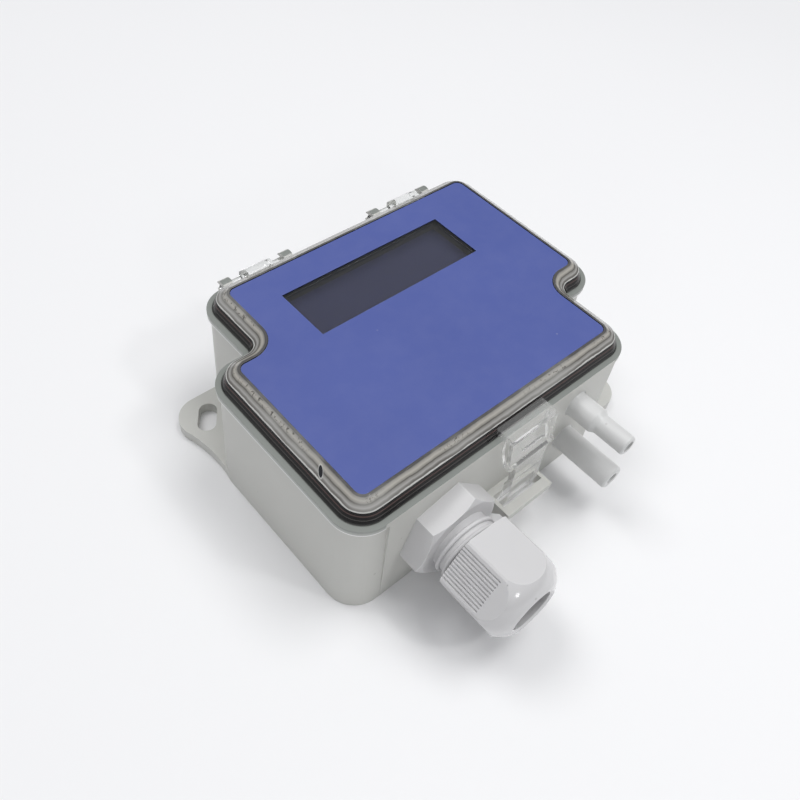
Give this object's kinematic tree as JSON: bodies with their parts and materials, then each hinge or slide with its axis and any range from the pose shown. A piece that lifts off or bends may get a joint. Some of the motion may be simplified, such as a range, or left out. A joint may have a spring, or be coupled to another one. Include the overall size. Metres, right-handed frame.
{
  "type": "differential pressure transmitter",
  "caption": "Wall-mounted differential pressure transmitter with a hinged clear lid, display window, hose ports and a cable gland.",
  "frame": {"origin": "centre of the case's outline, on its flat back", "axes": "+X along the lid's hinge, +Y from the gland side to the hinge side, +Z out of the wall through the lid"},
  "size_m": [0.0978, 0.1014, 0.036],
  "materials": {
    "case_grey": "fine satin, light grey",
    "gland_grey": "satin, pale grey",
    "port_grey": "smooth, pale grey",
    "lid_clear": "clear and glossy",
    "label_blue": "satin film, mid blue",
    "black_rubber": "matte",
    "black_plastic": "matte",
    "lcd_glass": "smooth, dark purple grey",
    "board_green": "satin solder mask",
    "screw_steel": "zinc plated",
    "pin_metal": "bright",
    "terminal_green": "satin",
    "button_white": "satin",
    "can_aluminium": "satin",
    "hose_silicone": "translucent white"
  },
  "bodies": {
    "base": {"case_base": "case_grey", "fixing_ears": "case_grey", "gland_body": "gland_grey", "gland_washer": "black_rubber", "gland_lock_nut": "gland_grey", "gland_seal": "black_rubber", "port_lower": "port_grey", "port_upper": "port_grey", "pressure_sensor": "black_plastic", "hose_lower": "hose_silicone", "hose_upper": "hose_silicone", "main_board": "board_green", "board_screws": "screw_steel", "display_board": "board_green", "display_standoffs": "black_plastic", "display_header": "pin_metal", "lcd_bezel": "black_plastic", "lcd_panel": "lcd_glass", "terminal_block": "terminal_green", "switch_body": "black_plastic", "range_header": "pin_metal", "range_jumpers": "black_plastic", "controller_chip": "black_plastic", "capacitors": "can_aluminium"},
    "lid": {"clear_lid": "lid_clear", "window_label": "label_blue", "lid_gasket": "black_rubber"},
    "dome_nut": {"gland_dome_nut": "gland_grey"},
    "zero_button": {"zero_button": "button_white"},
    "terminal_screw_1": {"terminal_screw_1": "screw_steel"},
    "terminal_screw_2": {"terminal_screw_2": "screw_steel"},
    "terminal_screw_3": {"terminal_screw_3": "screw_steel"},
    "terminal_screw_4": {"terminal_screw_4": "screw_steel"}
  },
  "joints": [
    {"name": "lid_hinge", "type": "hinge", "parent": "base", "child": "lid", "pos_m": [0, 0.0365, 0.0304], "axis": [-1, 0, 0], "range_deg": [0, 110]},
    {"name": "dome_nut_turn", "type": "hinge", "parent": "base", "child": "dome_nut", "pos_m": [-0.0235, -0.0546, 0.0162], "axis": [0, -1, 0], "range_deg": [-360, 1080]},
    {"name": "zero_button_press", "type": "slide", "parent": "base", "child": "zero_button", "axis": [0, 0, -1], "range_m": [0, 0.0004], "stiffness_N_per_m": 300, "springref_m": -0.0004},
    {"name": "terminal_screw_1_turn", "type": "hinge", "parent": "base", "child": "terminal_screw_1", "pos_m": [-0.02746, -0.014, 0.016], "axis": [0, 0, 1], "range_deg": [0, 1440]},
    {"name": "terminal_screw_2_turn", "type": "hinge", "parent": "base", "child": "terminal_screw_2", "pos_m": [-0.02238, -0.014, 0.016], "axis": [0, 0, 1], "range_deg": [0, 1440]},
    {"name": "terminal_screw_3_turn", "type": "hinge", "parent": "base", "child": "terminal_screw_3", "pos_m": [-0.0173, -0.014, 0.016], "axis": [0, 0, 1], "range_deg": [0, 1440]},
    {"name": "terminal_screw_4_turn", "type": "hinge", "parent": "base", "child": "terminal_screw_4", "pos_m": [-0.01222, -0.014, 0.016], "axis": [0, 0, 1], "range_deg": [0, 1440]}
  ]
}
